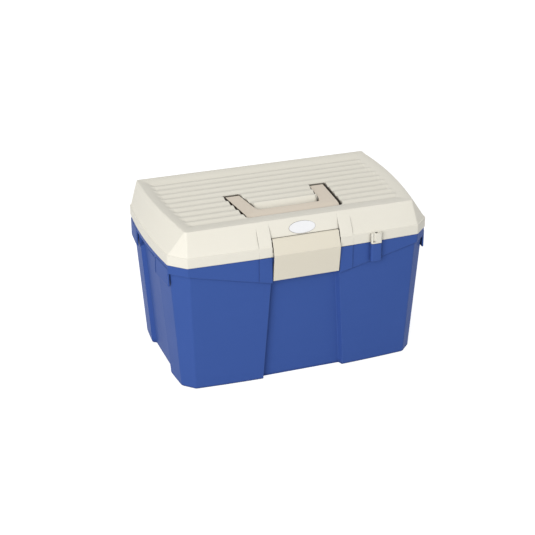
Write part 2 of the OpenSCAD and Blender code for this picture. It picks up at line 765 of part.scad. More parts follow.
// Room for the clasp's knuckle and plate in the lid's front, and the channel above it
module clasp_room() {
    low = lid_z - lap;
    bar_x([clasp_y, clasp_z], clasp_knuckle_r + clasp_gap, 0, 2 * channel_hw);
    along_x([[channel_y(top_front_z), top_front_z], [clasp_y, clasp_z], [behind_clasp_y(clasp_z), clasp_z],
             [behind_clasp_y(low), low], [-far, low], [-far, top_front_z]], 0, 2 * channel_hw);
}

// Wall behind the channel and the clasp, above the tub's tongue
module clasp_backing() {
    width = 2 * (channel_hw + well_wall);
    low = tongue_z + 2 * tongue_gap;
    intersection() {
        lid_solid();
        union() {
            bar_x([clasp_y, clasp_z], clasp_knuckle_r + clasp_gap + well_wall, 0, width);
            along_x([[behind_clasp_y(low) + lid_wall, low], [behind_clasp_y(clasp_z) + lid_wall, clasp_z],
                     [channel_y(roof_z) + 1.2 * lid_wall, roof_z], [channel_y(roof_z), roof_z + lap],
                     [-far, roof_z + lap], [-far, low]], 0, width);
        }
    }
}

module lid_hinge_strap() {
    band_y = lid_hd + bowed(hinge_x + hinge_mid_l / 2, lid_hw - rim_corner, rim_front_bow);
    bar_x([hinge_y, hinge_z], hinge_r, hinge_x, hinge_mid_l);
    along_x([[hinge_y - hinge_r, hinge_z], [hinge_y + hinge_r, hinge_z], [hinge_y + hinge_r, lid_z + 2 * lap],
             [band_y - lap, band_z - lap], [band_y - lap, lid_z], [hinge_y - hinge_r, lid_z]],
            hinge_x, hinge_mid_l);
}

// The lug stands on the band, with a groove down its front; its lip hangs in front of the tub's collar
module lid_lug() {
    translate([0, 0, lid_z]) linear_extrude(lug_h) difference() {
        lug_plan(lug_rim_y + 0.9 * band_wall);
        translate([lug_x - lug_groove_x, lug_front_y + lug_groove_d - lug_groove_r])
            circle(lug_groove_r, $fn = round_fn);
    }
    translate([0, 0, lid_z - lug_lip]) linear_extrude(lug_lip + lap)
        lug_plan(lug_rim_y + collar_inset - rim_gap);
}

module on_badge_place(depth) {
    z = (slope_foot[1] + slope_head[1]) / 2 + badge_rise;
    translate([badge_x, channel_y(z), z]) rotate([channel_angle, 0, 0]) translate([0, 0, -depth]) children();
}

module badge_oval(grow) {
    polygon([for (i = [0 : round_fn - 1]) let (a = 360 * i / round_fn)
        [(badge_w / 2 + grow) * cos(a), (badge_h / 2 + grow) * sin(a)]]);
}

module lid() {
    color(ivory) difference() {
        union() {
            difference() {
                union() {
                    lid_solid();
                    both_ends() {
                        lid_strip();
                        lid_hinge_strap();
                    }
                    lid_lug();
                }
                lid_hollow();
            }
            for (i = [0 : rib_count - 1])
                lid_rib(-lid_top_d / 2 + dish_front + rib_pitch * (i + 0.5));
            handle_well(handle_gap + well_wall, handle_side_gap + well_wall, handle_gap,
                        well_floor_z - well_wall, dish_z - lap);
            finger_block();
            clasp_backing();
        }
        handle_well(handle_gap, handle_side_gap, handle_gap, well_floor_z, top_rear_z + lap);
        along_x(finger_profile(0), 0, finger_w);
        clasp_room();
        both_ends() bar_x(handle_pivot, handle_pin_r + pin_gap, handle_pin_x, handle_pin_l(well_wall + lap));
        bar_x([clasp_y, clasp_z], clasp_rod_r + pin_gap, 0, clasp_rod_l + 2 * pin_gap);
        both_ends() bar_x([hinge_y, hinge_z], hinge_rod_r + pin_gap, hinge_x, hinge_rod_l);
        lug_hole(lid_z - lug_lip - lap, lug_h + lug_lip + 2 * lap);
        on_badge_place(badge_seat) linear_extrude(badge_t * 4) badge_oval(seat_gap);
    }
}

// Carrying handle

// Side view of the folded handle: round at the pivots, domed at the grip
handle_profile = concat(
    [for (i = [0 : arc_steps]) let (a = -90 + 180 * i / arc_steps)
        handle_pivot + handle_r * [cos(a), sin(a)]],
    arc_between([grip_inner_y - grip_bar_d * 0.3, handle_top_z],
                [handle_front_y, handle_top_z - grip_fall], -grip_fall / 5),
    [[handle_front_y, handle_top_z - handle_t * 0.8],
     [handle_front_y + handle_t * 0.2, handle_top_z - handle_t]]);

module carry_handle() {
    color(ivory) difference() {
        intersection() {
            handle_well(0, 0, arm_end_round, handle_top_z - handle_t - lap, handle_top_z + lap);
            along_x(handle_profile, 0, handle_rear_w + 2 * lap);
        }
        both_ends() bar_x(handle_pivot, handle_pin_r + pin_gap, (handle_rear_w - arm_w) / 2, arm_w + 4);
    }
}

module handle_pin(side) {
    color(steel) bar_x(handle_pivot, handle_pin_r, side * handle_pin_x, handle_pin_l(0.8 * well_wall));
}

module handle_pin_left() { handle_pin(-1); }

module handle_pin_right() { handle_pin(1); }

// Front clasp

clasp_rod_l = 2 * channel_hw + strip_w / 2;

// Side view: a plate from the knuckle to the crease and on to the tip, with a bead inside the tip
clasp_profile = [
    clasp_top, crease + clasp_step * [1, 0.4], crease, clasp_tip, clasp_tip + [clasp_wall + clasp_bead, 0],
    clasp_tip + [clasp_wall + clasp_bead, clasp_bead * 2], clasp_tip + [clasp_wall, clasp_bead * 4.5],
    clasp_inner[1], clasp_inner[0]];

module front_clasp() {
    color(cream) difference() {
        union() {
            along_x(clasp_profile, 0, clasp_w);
            bar_x([clasp_y, clasp_z], clasp_knuckle_r, 0, clasp_w);
        }
        bar_x([clasp_y, clasp_z], clasp_rod_r + pin_gap, 0, clasp_w + 2);
    }
}

module clasp_rod() {
    color(steel) bar_x([clasp_y, clasp_z], clasp_rod_r, 0, clasp_rod_l);
}

// Hinge rods

module hinge_rod(side) {
    color(steel) bar_x([hinge_y, hinge_z], hinge_rod_r, side * hinge_x, hinge_rod_l);
}

module hinge_rod_left() { hinge_rod(-1); }

module hinge_rod_right() { hinge_rod(1); }

// Tray

tray_z = seat_z + seat_gap;
tray_floor_z = tray_z + tray_rim_t - tray_h;
tray_hw = grip_back_x - tub_wall - tray_gap;
tray_hd = min(mouth_hd, tub_hd(seat_z) - tub_wall) + rim_front_bow - front_recess_d - 2 * tray_gap;

// Eight-sided outline with straight sides and softened corners
function straight_outline(hw, hd, cut) =
    soften(set_round(plain_side(hw - cut, 0), plain_side(hd - cut, 0), hw, hd), corner_round * 2);

// Outline of the tray's wall at height z, moved in by inset
function tray_outline(z, inset) = let (lean = tray_draft * (tray_z - z) / tray_h)
    straight_outline(tray_hw - lean - inset, tray_hd - lean - inset, rim_corner - inset * corner_shrink);
function tray_ring(z, inset) = at_height(tray_outline(z, inset), z);

// The rim rests on the ledges over the recesses
module tray_shell() {
    difference() {
        union() {
            loft([tray_ring(tray_floor_z, 0), tray_ring(tray_z + lap, 0)]);
            translate([0, 0, tray_z]) linear_extrude(tray_rim_t)
                polygon(straight_outline(tray_hw + tray_lip, mouth_hd - tray_gap, rim_corner + 2 * tray_lip));
        }
        loft([tray_ring(tray_floor_z + tray_wall, tray_wall),
              tray_ring(tray_z + tray_rim_t + lap, tray_wall)]);
    }
}

tray_split_y = -tray_hd + tray_front_d;

// Middle wall with a hand hole, and the walls between the rear compartments
module tray_dividers() {
    top = tray_z + tray_rim_t + tray_grip_rise;
    hole_z = top - tray_wall * 3 - tray_hole_h / 2;
    difference() {
        translate([0, tray_split_y + tray_wall, 0]) rotate([90, 0, 0]) linear_extrude(2 * tray_wall) polygon([
            [-tray_hw, tray_floor_z + lap], [tray_hw, tray_floor_z + lap], [tray_hw, tray_z],
            [tray_hole_w * 0.9, tray_z], [tray_hole_w * 0.7, top], [-tray_hole_w * 0.7, top],
            [-tray_hole_w * 0.9, tray_z], [-tray_hw, tray_z]]);
        for (s = [-1, 1])
            translate([s * (tray_hole_w - tray_hole_h) / 2, tray_split_y + 2 * tray_wall, hole_z])
                rotate([90, 0, 0]) cylinder(r = tray_hole_h / 2, h = 4 * tray_wall, $fn = round_fn);
        translate([-(tray_hole_w - tray_hole_h) / 2, tray_split_y - 2 * tray_wall, hole_z - tray_hole_h / 2])
            cube([tray_hole_w - tray_hole_h, 4 * tray_wall, tray_hole_h]);
    }
    for (i = [1 : tray_cells - 1])
        translate([-tray_hw + 2 * tray_hw * i / tray_cells - tray_wall / 2, tray_split_y, tray_floor_z + lap])
            cube([tray_wall, tray_hd - tray_split_y, tray_h - 4 * tray_rim_t]);
}

module tray() {
    color(ivory) union() {
        tray_shell();
        intersection() {
            tray_dividers();
            loft([tray_ring(tray_floor_z, tray_wall / 2),
                  tray_ring(tray_z + tray_rim_t + tray_grip_rise + lap, tray_wall / 2)]);
        }
    }
}

// Badge

module badge() {
    color(white) on_badge_place(badge_seat) linear_extrude(badge_t) badge_oval(0);
}

tub();
lid();
carry_handle();
handle_pin_left();
handle_pin_right();
front_clasp();
clasp_rod();
hinge_rod_left();
hinge_rod_right();
tray();
badge();
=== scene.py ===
"""Looks of a horse grooming box: moulded plastics, drawn steel, a pale floor, studio light and a camera.

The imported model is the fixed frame. Each sub-assembly is a class that makes its moulded pieces from the
frame's nodes, with curved faces smoothed and true edges kept, and dresses them in a procedural finish.
Units are metres.
"""

from __future__ import annotations

import logging
import math
from dataclasses import dataclass, field
from enum import Enum
from typing import Union

import bmesh
import bpy
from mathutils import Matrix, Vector


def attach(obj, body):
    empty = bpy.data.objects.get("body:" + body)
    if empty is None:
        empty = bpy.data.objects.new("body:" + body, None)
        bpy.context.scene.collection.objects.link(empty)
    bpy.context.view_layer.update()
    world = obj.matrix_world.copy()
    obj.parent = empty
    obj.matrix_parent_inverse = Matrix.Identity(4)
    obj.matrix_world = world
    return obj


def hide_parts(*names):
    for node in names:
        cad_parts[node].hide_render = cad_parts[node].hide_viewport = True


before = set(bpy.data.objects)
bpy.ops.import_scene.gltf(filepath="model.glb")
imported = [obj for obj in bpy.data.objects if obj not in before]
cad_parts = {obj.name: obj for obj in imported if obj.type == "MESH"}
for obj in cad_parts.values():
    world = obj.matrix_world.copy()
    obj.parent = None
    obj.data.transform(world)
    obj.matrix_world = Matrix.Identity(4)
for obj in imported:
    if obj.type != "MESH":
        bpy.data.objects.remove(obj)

log = logging.getLogger("grooming_box")

Colour = tuple[float, float, float]
Point = tuple[float, float, float]
Number = Union[int, float]
Faces = list[bmesh.types.BMFace]
PHOTO_WIDTH = 535
NOISE_MIDDLE = 0.5


class Slot(Enum):
    """Material slots of the record."""

    BLUE = "blue_plastic"
    IVORY = "ivory_plastic"
    CREAM = "cream_plastic"
    WHITE = "white_plastic"
    STEEL = "steel"


class Body(Enum):
    """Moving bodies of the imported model."""

    TUB = "tub_body"
    LID = "lid_body"
    HANDLE = "handle_body"
    CLASP = "clasp_body"
    TRAY = "tray_body"


class Signal:
    """A shader socket that takes part in arithmetic, one Math node for each operation."""

    def __init__(self, graph: Graph, socket: bpy.types.NodeSocket) -> None:
        """Wrap a socket.

        Args:
            graph: The node graph that the socket belongs to.
            socket: An output socket of one of its nodes.
        """
        self.graph = graph
        self.socket = socket

    def _math(self, operation: str, first: Operand, second: Operand) -> Signal:
        """Add a Math node.

        Args:
            operation: The node's operation.
            first: Its first value.
            second: Its second value.

        Returns:
            The node's result.
        """
        return self.graph.node("ShaderNodeMath", {"operation": operation}, {0: first, 1: second})

    def __add__(self, other: Operand) -> Signal:
        """This value plus another."""
        return self._math("ADD", self, other)

    def __radd__(self, other: Operand) -> Signal:
        """Another value plus this one."""
        return self._math("ADD", other, self)

    def __sub__(self, other: Operand) -> Signal:
        """This value less another."""
        return self._math("SUBTRACT", self, other)

    def __rsub__(self, other: Operand) -> Signal:
        """Another value less this one."""
        return self._math("SUBTRACT", other, self)

    def __mul__(self, other: Operand) -> Signal:
        """This value times another."""
        return self._math("MULTIPLY", self, other)

    def __rmul__(self, other: Operand) -> Signal:
        """Another value times this one."""
        return self._math("MULTIPLY", other, self)

    def clamped(self) -> Signal:
        """This value held between 0 and 1."""
        return self.graph.node("ShaderNodeClamp", {}, {"Value": self})


Operand = Union[Signal, Number]


class Graph:
    """The node graph of a material or of the world."""

    def __init__(self, tree: bpy.types.NodeTree) -> None:
        """Start an empty graph.

        Args:
            tree: The node tree to fill.
        """
        self.tree = tree
        self.tree.nodes.clear()

    def node(self, kind: str, settings: dict, inputs: dict, output: Union[int, str] = 0) -> Signal:
        """Add a node, with its settings first and then its sockets.

        Args:
            kind: The node's type.
            settings: Its properties.
            inputs: Values or signals by socket name, identifier or number.
            output: The output to hand back, by name, identifier or number.

        Returns:
            The chosen output.
        """
        made = self.tree.nodes.new(kind)
        for key, value in settings.items():
            setattr(made, key, value)
        for key, value in inputs.items():
            socket = self._find(made.inputs, key)
            if isinstance(value, Signal):
                self.tree.links.new(value.socket, socket)
            else:
                socket.default_value = value
        return Signal(self, self._find(made.outputs, output)) if made.outputs else Signal(self, None)

    @staticmethod
    def _find(sockets: bpy.types.bpy_prop_collection, key: Union[int, str]) -> bpy.types.NodeSocket:
        """Find a socket.

        Args:
            sockets: A node's inputs or outputs.
            key: Its number, identifier or name.

        Returns:
            The socket.
        """
        if isinstance(key, int):
            return sockets[key]
        by_identifier = {socket.identifier: socket for socket in sockets}
        return by_identifier.get(key) or sockets[key]

    def mix(self, factor: Operand, first: Union[Signal, Colour], second: Union[Signal, Colour]) -> Signal:
        """Mix two colours.

        Args:
            factor: 0 for the first, 1 for the second.
            first: A colour.
            second: A colour.

        Returns:
            The mixed colour.
        """
        colours = {"A_Color": first, "B_Color": second}
        ready = {key: value if isinstance(value, Signal) else (*value, 1.0) for key, value in colours.items()}
        inputs = {"Factor_Float": factor, **ready}
        return self.node("ShaderNodeMix", {"data_type": "RGBA"}, inputs, "Result_Color")

    def place(self) -> Signal:
        """Place on the object, in metres."""
        return self.node("ShaderNodeTexCoord", {}, {}, "Object")

    def stretched(self, scale: Point) -> Signal:
        """Place on the object with its axes scaled.

        Args:
            scale: Factors along X, Y and Z.

        Returns:
            The scaled place.
        """
        return self.node("ShaderNodeVectorMath", {"operation": "MULTIPLY"}, {0: self.place(), 1: scale})

    def noise(self, place: Signal, size: float, detail: float = 2.0, roughness: float = 0.5) -> Signal:
        """Smooth noise from 0 to 1.

        Args:
            place: Where it is read.
            size: Size of its features in metres.
            detail: Finer octaves added.
            roughness: Weight of the finer octaves.

        Returns:
            The noise.
        """
        inputs = {"Vector": place, "Scale": 1 / size, "Detail": detail, "Roughness": roughness}
        return self.node("ShaderNodeTexNoise", {}, inputs, 0)


class Material(Graph):
    """A material with its node graph."""

    def __init__(self, name: str) -> None:
        """Make an empty material.

        Args:
            name: Its name.
        """
        self.material = bpy.data.materials.new(name)
        self.material.use_nodes = True
        super().__init__(self.material.node_tree)

    def surface(self, shader: Signal) -> bpy.types.Material:
        """Use a shader as the surface.

        Args:
            shader: The shader's output.

        Returns:
            The finished material.
        """
        self.node("ShaderNodeOutputMaterial", {}, {"Surface": shader})
        return self.material


@dataclass(frozen=True)
class MouldedPlastic:
    """Moulded plastic with a fine grain, slightly polished edges, faint rubs and painted shade in its deep
    gaps.
    """

    name: str
    colour: Colour
    shade: Colour
    edge: Colour
    painted_shade: Colour
    roughness: float = 0.50
    grain_size: float = 0.0009
    grain_depth: float = 0.00003
    edge_radius: float = 0.0012
    edge_gain: float = 5.0
    grain_detail: float = 3.0
    grain_weight: float = 0.6
    grain_swing: float = 0.08
    edge_wear: float = 0.5
    edge_polish: float = 0.10
    cloud_size: float = 0.09
    cloud_detail: float = 3.0
    cloud_share: float = 0.6
    swing: float = 0.10
    flows_per_cloud: float = 4
    flow_stretch: Point = (0.25, 0.25, 1.6)
    flow_detail: float = 2.0
    flow_share: float = 0.4
    tone_start: float = 0.25
    streaks_per_cloud: float = 14
    streak_stretch: Point = (1.0, 1.0, 0.15)
    streak_detail: float = 4.0
    streak_weight: float = 0.7
    rub_start: float = 0.62
    rub_gain: float = 6
    rub_wear: float = 0.05
    rub_dulling: float = 0.05
    bevel_samples: int = 6
    # Painted shade: how far ambient occlusion looks, where it starts and how strongly it darkens creases,
    # gaps and hollows.
    painted_shade_reach: float = 0.007
    painted_shade_start: float = 0.06
    painted_shade_gain: float = 1.25
    painted_shade_samples: int = 8
    ior: float = 1.44
    specular: float = 0.5

    def material(self) -> bpy.types.Material:
        """Build the material.

        Returns:
            The material.
        """
        mat = Material(self.name)
        place = mat.place()
        rounded = mat.node("ShaderNodeBevel", {"samples": self.bevel_samples}, {"Radius": self.edge_radius})
        flat = mat.node("ShaderNodeNewGeometry", {}, {}, "Normal")
        both = {0: rounded, 1: flat}
        facing = mat.node("ShaderNodeVectorMath", {"operation": "DOT_PRODUCT"}, both, "Value")
        edges = ((1 - facing) * self.edge_gain).clamped()
        clouds = mat.noise(place, self.cloud_size, self.cloud_detail)
        flow_size = self.cloud_size / self.flows_per_cloud
        flow = mat.noise(mat.stretched(self.flow_stretch), flow_size, self.flow_detail)
        grain = mat.noise(place, self.grain_size, self.grain_detail, self.grain_weight)
        streak_size = self.cloud_size / self.streaks_per_cloud
        streaks = mat.noise(
            mat.stretched(self.streak_stretch), streak_size, self.streak_detail, self.streak_weight)
        rubs = ((streaks - self.rub_start) * self.rub_gain).clamped()
        tone = (clouds * self.cloud_share + flow * self.flow_share - self.tone_start).clamped()
        body = mat.mix(tone, self.colour, self.shade)
        worn = mat.mix(edges * self.edge_wear + rubs * self.rub_wear, body, self.edge)
        # Painted shade: ambient occlusion darkens creases, gaps between parts and hollows towards a dark
        # colour.
        open_sky = mat.node("ShaderNodeAmbientOcclusion", {"samples": self.painted_shade_samples},
                            {"Distance": self.painted_shade_reach}, "AO")
        painted_shade_mask = ((1 - open_sky - self.painted_shade_start) * self.painted_shade_gain).clamped()
        colour = mat.mix(painted_shade_mask, worn, self.painted_shade)
        rough = self.roughness + (clouds - NOISE_MIDDLE) * self.swing
        rough = rough + (grain - NOISE_MIDDLE) * self.grain_swing
        rough = rough - edges * self.edge_polish + rubs * self.rub_dulling
        bump = mat.node("ShaderNodeBump", {}, {
            "Strength": 1.0, "Distance": self.grain_depth, "Height": grain, "Normal": rounded})
        shader = mat.node("ShaderNodeBsdfPrincipled", {}, {
            "Base Color": colour, "Roughness": rough.clamped(), "Normal": bump, "IOR": self.ior,
            "Specular IOR Level": self.specular})
        return mat.surface(shader)


@dataclass(frozen=True)
class DrawnSteel:
    """Bright drawn wire with fine lines along its length."""

    name: str
    colour: Colour
    roughness: float = 0.3
    line_stretch: Point = (0.02, 1.0, 1.0)
    line_size: float = 0.0004
    line_share: float = 0.5
    line_swing: float = 0.2
    line_strength: float = 0.6
    line_depth: float = 0.00001
    cloud_size: float = 0.01
    cloud_share: float = 0.3
    dulling: float = 0.7

    def material(self) -> bpy.types.Material:
        """Build the material.

        Returns:
            The material.
        """
        mat = Material(self.name)
        lines = mat.noise(mat.stretched(self.line_stretch), self.line_size)
        clouds = mat.noise(mat.place(), self.cloud_size)
        dull = tuple(self.dulling * part for part in self.colour)
        colour = mat.mix(lines * self.line_share + clouds * self.cloud_share, self.colour, dull)
        rough = self.roughness + (lines - NOISE_MIDDLE) * self.line_swing
        bump = mat.node("ShaderNodeBump", {}, {
            "Strength": self.line_strength, "Distance": self.line_depth, "Height": lines})
        shader = mat.node("ShaderNodeBsdfPrincipled", {}, {
            "Base Color": colour, "Metallic": 1.0, "Roughness": rough.clamped(), "Normal": bump})
        return mat.surface(shader)


class Finishes:
    """The finishes that the pieces share."""

    def __init__(self) -> None:
        """Build every material once."""
        # Each finish's dark occlusion colour is painted shade for its creases, gaps and hollows.
        self.blue = MouldedPlastic(
            "blue_plastic", colour=(0.050, 0.107, 0.362), shade=(0.044, 0.098, 0.338),
            edge=(0.100, 0.178, 0.465), painted_shade=(0.006, 0.014, 0.070), painted_shade_start=0.16,
            specular=0.12).material()
        self.ivory = MouldedPlastic(
            "ivory_plastic", colour=(0.840, 0.810, 0.715), shade=(0.810, 0.777, 0.674),
            edge=(0.890, 0.865, 0.785), painted_shade=(0.060, 0.045, 0.030), painted_shade_reach=0.010, painted_shade_start=0.22,
            painted_shade_gain=2.4).material()
        self.warm_ivory = MouldedPlastic(
            "warm_ivory_plastic", colour=(0.815, 0.722, 0.600), shade=(0.788, 0.694, 0.571),
            edge=(0.865, 0.795, 0.690), painted_shade=(0.060, 0.040, 0.025), painted_shade_reach=0.010, painted_shade_start=0.12,
            painted_shade_gain=2.0).material()
        self.cream = MouldedPlastic(
            "cream_plastic", colour=(0.790, 0.740, 0.615), shade=(0.765, 0.712, 0.585),
            edge=(0.860, 0.825, 0.735), painted_shade=(0.120, 0.080, 0.050), roughness=0.44).material()
        self.white = MouldedPlastic(
            "white_plastic", colour=(0.900, 0.905, 0.920), shade=(0.875, 0.880, 0.900),
            edge=(0.930, 0.930, 0.940), painted_shade=(0.500, 0.480, 0.450), roughness=0.30, grain_depth=0.000008,
            edge_radius=0.0004).material()
        self.steel = DrawnSteel("steel", colour=(0.560, 0.570, 0.590)).material()


def eased(value: float) -> float:
    """A smooth step from 0 to 1 as the value goes from 0 to 1."""
    held = min(max(value, 0.0), 1.0)
    return held * held * (3 - 2 * held)


def rounded_min(first: float, second: float, reach: float) -> float:
    """Lesser of two heights, rounded where they meet.

    Args:
        first: A height.
        second: Another height.
        reach: Difference of heights at which the rounding ends.

    Returns:
        The rounded height.
    """
    if reach <= 0:
        return min(first, second)
    share = max(0.0, 1 - abs(first - second) / reach)
    return min(first, second) - reach * share * share / 4


@dataclass
class RibbedTop:
    """The lid's dished top: a border that rolls over, ribs with rounded tongues, and soft end edges."""

    depth: float = 0.2095
    front_width: float = 0.341
    rear_width: float = 0.364
    bow: float = 0.007
    corner: float = 0.002
    front_height: float = 0.2426
    rear_height: float = 0.2446
    crown: float = 0.0016
    floor_height: float = 0.2392
    front_border: float = 0.0255
    rear_border: float = 0.020
    end_border: float = 0.022
    fall: float = 1.8
    mitre: float = 6.0
    rib_count: int = 9
    rib_height: float = 0.0026
    rib_steps: int = 10
    border_steps: int = 10
    tip: float = 0.015
    tongue: float = 0.005
    tip_rise: float = 0.008
    edge_round: float = 0.0045
    edge_fade: float = 0.014
    end_steepness: float = 2.0
    foot_half: float = 0.1934
    foot_bow: float = 0.0056
    foot_run: float = 0.0974
    foot_height: float = 0.2104
    straight_from: float = 0.095
    straight_to: float = 0.140
    straight_half: float = 0.176
    edge_gaps: tuple[float, ...] = (0.0007, 0.0014, 0.0022, 0.0032)
    border_gaps: tuple[float, ...] = (0.005, 0.008, 0.011, 0.013)
    tip_step: float = 0.0012
    tip_steps: int = 15
    slack: float = 0.0003
    cut_slack: float = 1e-6
    solve_steps: int = 40
    least_upright: float = 0.6
    least_sideways: float = 2.0
    least_tilt: float = 0.2

    def half_width(self, y: float) -> float:
        """Half of the top's width at a place from front to rear."""
        widening = (self.rear_width - self.front_width) / 2 * (y / self.depth + 0.5)
        along = y / (self.depth / 2 - self.corner)
        return self.front_width / 2 + widening + self.bow * (1 - along * along)

    def edge_height(self, y: float) -> float:
        """Height of the top's edge at a place from front to rear."""
        along = y / self.depth + 0.5
        rise = (self.rear_height - self.front_height) * along
        return self.front_height + rise + self.crown * 4 * along * (1 - along)

    def end_gap(self, x: float, y: float) -> float:
        """Distance in from the nearer end edge, less than 0 outside it."""
        return self.half_width(y) - abs(x)

    def height(self, x: float, y: float) -> float:
        """Height of the top's surface.

        Args:
            x: Place along the lid.
            y: Place from front to rear.

        Returns:
            The height of the border or of the rib there.
        """
        front_gap = y + self.depth / 2
        end_gap = self.end_gap(x, y)
        gaps = ((front_gap, self.front_border), (self.depth / 2 - y, self.rear_border),
                (end_gap, self.end_border))
        nearness = sum(min(max(1 - gap / border, 0.0), 1.0) ** self.mitre for gap, border in gaps)
        rim = min(nearness, 1.0) ** (1 / self.mitre)
        edge = self.edge_height(y)
        floor = edge - (edge - self.floor_height) * (1 - rim) ** self.fall
        rib = (front_gap - self.front_border) / self.pitch()
        if not 0 < rib < self.rib_count:
            return floor
        across = rib % 1.0
        start = self.tip + self.tongue * (2 * across - 1) ** 2
        grown = eased((end_gap - start) / self.tip_rise)
        return floor + self.rib_height / 2 * (1 - math.cos(2 * math.pi * across)) * grown

    def pitch(self) -> float:
        """Distance from rib to rib."""
        return (self.depth - self.front_border - self.rear_border) / self.rib_count

    def _shift(self, x: float, y: float) -> float:
        """How far the end edge's curve moves a point, in full near the ends and not at all in the middle."""
        share = eased((abs(x) - self.straight_from) / (self.straight_to - self.straight_from))
        return math.copysign((self.half_width(y) - self.straight_half) * share, x)

    def _straighten(self, points: set[bmesh.types.BMVert]) -> None:
        """Move points so that the curved end edges run straight."""
        for point in points:
            point.co.x -= self._shift(point.co.x, point.co.y)

    def _curve_back(self, points: set[bmesh.types.BMVert]) -> None:
        """Move points back to the curved end edges."""
        for point in points:
            straight = point.co.x
            for _ in range(self.solve_steps):
                point.co.x = straight + self._shift(point.co.x, point.co.y)

    def _is_top(self, face: bmesh.types.BMFace) -> bool:
        """True for a face of the dish or of a rib."""
        middle = face.calc_center_median()
        inside = abs(middle.y) < self.depth / 2 and self.end_gap(middle.x, middle.y) > 0
        low = min(point.co.z for point in face.verts)
        return inside and face.normal.z > self.least_upright and low > self.floor_height - self.slack

    def _is_end(self, face: bmesh.types.BMFace) -> bool:
        """True for a face of an end slope that reaches the top edge."""
        middle = face.calc_center_median()
        sideways = abs(face.normal.x) > self.least_sideways * abs(face.normal.y)
        tilted = sideways and face.normal.z > self.least_tilt
        high = max(point.co.z for point in face.verts)
        return tilted and self.end_gap(middle.x, middle.y) < 0 and high > self.front_height - self.slack

    def _rows(self) -> list[float]:
        """Places from front to rear where the top is divided, along the borders and ribs."""
        front = -self.depth / 2
        share = [step / self.border_steps for step in range(1, self.border_steps)]
        rib_rows = range(self.rib_count * self.rib_steps + 1)
        ribs = [front + self.front_border + self.pitch() * row / self.rib_steps for row in rib_rows]
        return [front + self.front_border * part for part in share] + ribs + [
            -front - self.rear_border * part for part in share]

    def _columns(self) -> list[float]:
        """Places along the lid where its straightened ends are divided."""
        gaps = [-gap for gap in self.edge_gaps] + list(self.edge_gaps) + list(self.border_gaps)
        gaps += [self.tip + self.tip_step * step for step in range(self.tip_steps)]
        return [side * (self.straight_half - gap) for gap in gaps for side in (-1, 1)]

    def _divide(self, work: bmesh.types.BMesh, faces: Faces, axis: int, places: list[float]) -> Faces:
        """Cut faces by planes across an axis.

        Args:
            work: The mesh.
            faces: The faces to cut.
            axis: 0 for X and 1 for Y.
            places: Where the planes stand.

        Returns:
            The faces that came out of the cuts.
        """
        edges = {edge for face in faces for edge in face.edges}
        part = list({point for face in faces for point in face.verts}) + list(edges) + faces
        direction = Vector((1 - axis, axis, 0))
        for place in places:
            made = bmesh.ops.bisect_plane(work, geom=part, dist=self.cut_slack, plane_co=direction * place,
                                          plane_no=direction)
            part = made["geom"]
        return [item for item in part if isinstance(item, bmesh.types.BMFace)]

    def reshape(self, work: bmesh.types.BMesh) -> None:
        """Divide the top finely and set its heights.

        Args:
            work: The lid's mesh.
        """
        work.normal_update()
        faces = [face for face in work.faces if self._is_top(face) or self._is_end(face)]
        self._straighten({point for face in faces for point in face.verts})
        faces = self._divide(work, faces, 0, self._columns())
        faces = self._divide(work, faces, 1, self._rows())
        points = {point for face in faces for point in face.verts}
        self._curve_back(points)
        for point in points:
            if self.end_gap(point.co.x, point.co.y) < -self.slack:
                point.co.x = self._slope_place(point.co)
            point.co.z = self._shaped(point.co)
        many_sided = [face for face in work.faces if len(face.verts) > 4]
        bmesh.ops.triangulate(work, faces=many_sided)

    def _slope_place(self, place: Vector) -> float:
        """Place along the lid of a point of an end slope, which is straight from top edge to foot.

        Args:
            place: Where the point is.

        Returns:
            Its new X; a point in a corner stays.
        """
        top_run = self.depth / 2 - self.corner
        edge = self.edge_height(place.y)
        down = (edge - place.z) / (edge - self.foot_height)
        along = place.y / (top_run + (self.foot_run - top_run) * down)
        if abs(along) > 1:
            return place.x
        top = self.half_width(top_run * along)
        foot = self.foot_half + self.foot_bow * (1 - along * along)
        return math.copysign(top + (foot - top) * down, place.x)

    def _shaped(self, place: Vector) -> float:
        """New height of a point of the top or of an end slope.

        Args:
            place: Where the point is.

        Returns:
            Its height, rounded near the end edges.
        """
        gap = self.end_gap(place.x, place.y)
        to_corner = self.depth / 2 - abs(place.y)
        rounding = self.edge_round * eased(to_corner / self.edge_fade)
        edge = self.edge_height(place.y)
        if gap < 0:
            return rounded_min(place.z, edge, rounding)
        return rounded_min(self.height(place.x, place.y), edge + self.end_steepness * gap, rounding)


